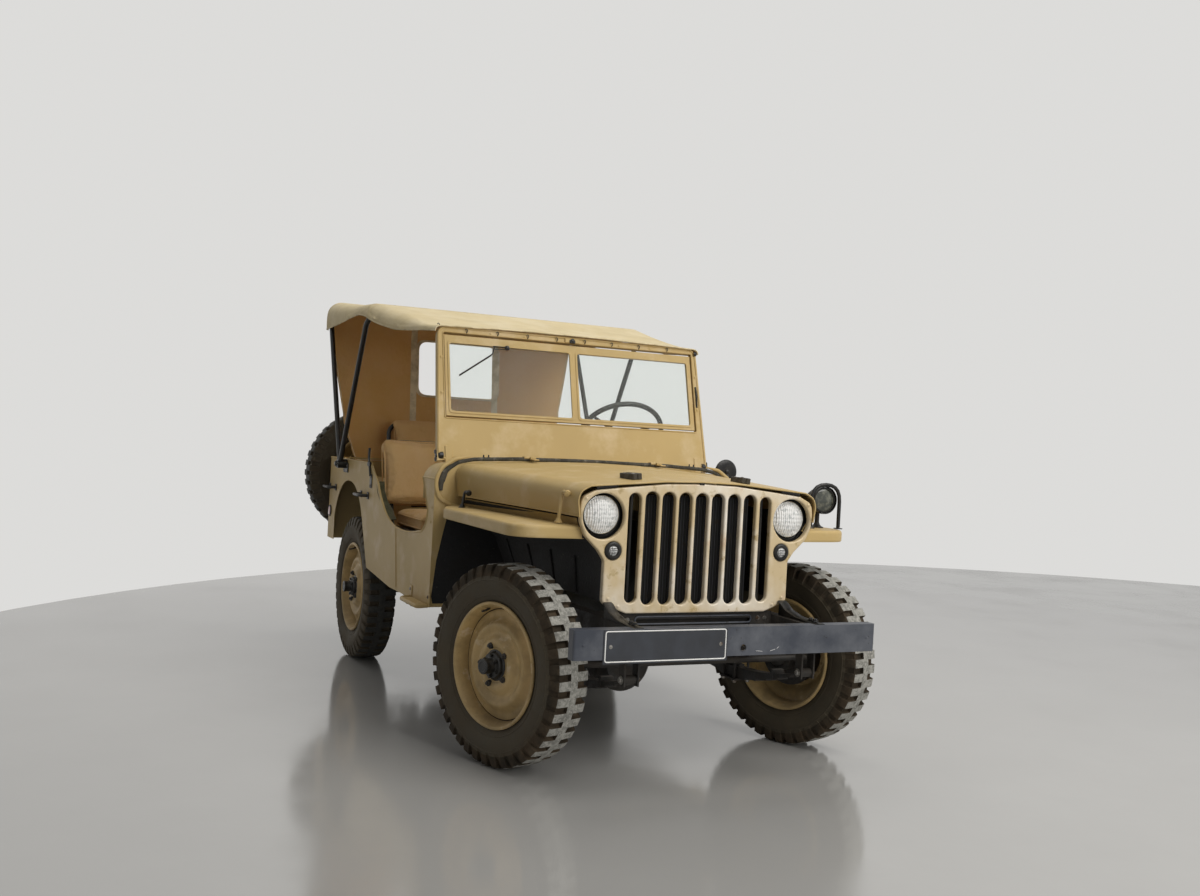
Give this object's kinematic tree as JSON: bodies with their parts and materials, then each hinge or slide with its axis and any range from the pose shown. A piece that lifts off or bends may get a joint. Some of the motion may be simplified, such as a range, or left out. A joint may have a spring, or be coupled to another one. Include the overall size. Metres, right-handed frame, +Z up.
{
  "type": "army 4x4 car",
  "caption": "Small open army utility car with a canvas top on bows, an upright slotted grille, flat fenders, a folding windshield and a spare wheel at the rear.",
  "frame": {"origin": "centre of the footprint, on the ground under the wheels", "axes": "+X forward along the car, +Y to its left, +Z up"},
  "size_m": [3.387, 1.606, 1.8633],
  "materials": {
    "body_paint": "satin sand paint",
    "chassis_black": "satin black paint",
    "wheel_paint": "satin tan paint",
    "tyre_rubber": "worn rubber",
    "black_paint": "gloss black paint",
    "black_plastic": "polished black rim",
    "slate_paint": "satin slate paint",
    "engine_iron": "painted casting",
    "radiator_black": "matt black",
    "lamp_glass": "clear lens over a bright bowl",
    "window_glass": "clear",
    "canvas": "woven canvas",
    "seat_canvas": "woven canvas covers",
    "wood_blocks": "painted wood"
  },
  "bodies": {
    "car": {"front_axle": "chassis_black", "rear_axle": "chassis_black", "leaf_springs": "chassis_black", "front_bumper": "slate_paint", "engine_block": "engine_iron", "frame_rails": "chassis_black", "radiator": "radiator_black", "drive_shafts": "chassis_black", "exhaust": "chassis_black", "wheel_houses": "body_paint", "body_floor": "body_paint", "side_panel_right": "body_paint", "side_panel_left": "body_paint", "rear_panel": "body_paint", "spare_tyre": "tyre_rubber", "spare_rim": "wheel_paint", "cowl": "body_paint", "grille": "body_paint", "headlamps": "lamp_glass", "marker_lamps": "lamp_glass", "fender_left": "body_paint", "fender_right": "body_paint", "driving_lamp": "body_paint", "windshield_frame": "body_paint", "top_bows": "black_paint", "canopy_roof": "canvas", "rear_curtain": "canvas", "seat_frames": "black_paint", "front_cushions": "seat_canvas", "rear_cushions": "seat_canvas", "side_mirror": "black_paint", "body_handles": "black_paint", "floor_controls": "black_paint", "rear_bumperettes": "chassis_black", "tow_hook": "chassis_black", "steering_column": "black_paint"},
    "hood_lid": {"hood": "body_paint", "hood_blocks": "wood_blocks"},
    "vent_sash": {"vent_frame": "body_paint", "windshield_glass": "window_glass"},
    "right_knuckle": {"knuckle_right": "chassis_black"},
    "left_knuckle": {"knuckle_left": "chassis_black"},
    "front_right_wheel": {"tyre_front_right": "tyre_rubber", "wheel_front_right": "wheel_paint"},
    "front_left_wheel": {"tyre_front_left": "tyre_rubber", "wheel_front_left": "wheel_paint"},
    "rear_right_wheel": {"tyre_rear_right": "tyre_rubber", "wheel_rear_right": "wheel_paint"},
    "rear_left_wheel": {"tyre_rear_left": "tyre_rubber", "wheel_rear_left": "wheel_paint"},
    "track_rod": {"tie_rod": "chassis_black"},
    "drag_rod": {"drag_link": "chassis_black"},
    "pitman_arm": {"drop_arm": "chassis_black"},
    "hand_wheel": {"steering_wheel": "black_plastic"}
  },
  "joints": [
    {"name": "hood_hinge", "type": "hinge", "parent": "car", "child": "hood_lid", "pos_m": [0.4985, 0, 1.08], "axis": [0, -1, 0], "range_deg": [0, 100]},
    {"name": "vent_hinge", "type": "hinge", "parent": "car", "child": "vent_sash", "pos_m": [0.1955, 0, 1.5874], "axis": [0, 1, 0], "range_deg": [-60, 0]},
    {"name": "steer_right", "type": "hinge", "parent": "car", "child": "right_knuckle", "pos_m": [1.1635, -0.555, 0.357], "axis": [0, 0, 1], "range_deg": [-45.7, 8.3]},
    {"name": "steer_left", "type": "hinge", "parent": "car", "child": "left_knuckle", "pos_m": [1.1635, 0.555, 0.357], "axis": [0, 0, 1], "range_deg": [-46, 9]},
    {"name": "track_rod_pin", "type": "hinge", "parent": "right_knuckle", "child": "track_rod", "pos_m": [1.29611, -0.51011, 0.365], "axis": [0, 0, 1], "range_deg": [-9, 46]},
    {"name": "drag_rod_pin", "type": "hinge", "parent": "left_knuckle", "child": "drag_rod", "pos_m": [1.20839, 0.42239, 0.412], "axis": [0, 0, 1], "range_deg": [-9, 46]},
    {"name": "pitman_pivot", "type": "hinge", "parent": "car", "child": "pitman_arm", "pos_m": [0.6885, 0.24, 0.542], "axis": [0, -1, 0], "range_deg": [-46, 9]},
    {"name": "steering_turn", "type": "hinge", "parent": "car", "child": "hand_wheel", "pos_m": [-0.0165, 0.37, 1.2], "axis": [-0.7284, 0.0848, 0.6799], "range_deg": [-660, 130]},
    {"name": "roll_front_right", "type": "hinge", "parent": "right_knuckle", "child": "front_right_wheel", "pos_m": [1.18594, -0.6213, 0.357], "axis": [-0.3206, 0.9472, 0], "continuous": true},
    {"name": "roll_front_left", "type": "hinge", "parent": "left_knuckle", "child": "front_left_wheel", "pos_m": [1.14106, 0.6213, 0.357], "axis": [-0.3206, 0.9472, 0], "continuous": true},
    {"name": "roll_rear_right", "type": "hinge", "parent": "car", "child": "rear_right_wheel", "pos_m": [-0.8685, -0.625, 0.357], "axis": [0, 1, 0], "continuous": true},
    {"name": "roll_rear_left", "type": "hinge", "parent": "car", "child": "rear_left_wheel", "pos_m": [-0.8685, 0.625, 0.357], "axis": [0, 1, 0], "continuous": true}
  ],
  "couplings": [
    {"joint": "steer_left", "follows": "steer_right", "ratio": 1},
    {"joint": "track_rod_pin", "follows": "steer_right", "ratio": -1},
    {"joint": "drag_rod_pin", "follows": "steer_right", "ratio": -1},
    {"joint": "pitman_pivot", "follows": "steer_right", "ratio": 1},
    {"joint": "steering_turn", "follows": "steer_right", "ratio": 14}
  ]
}
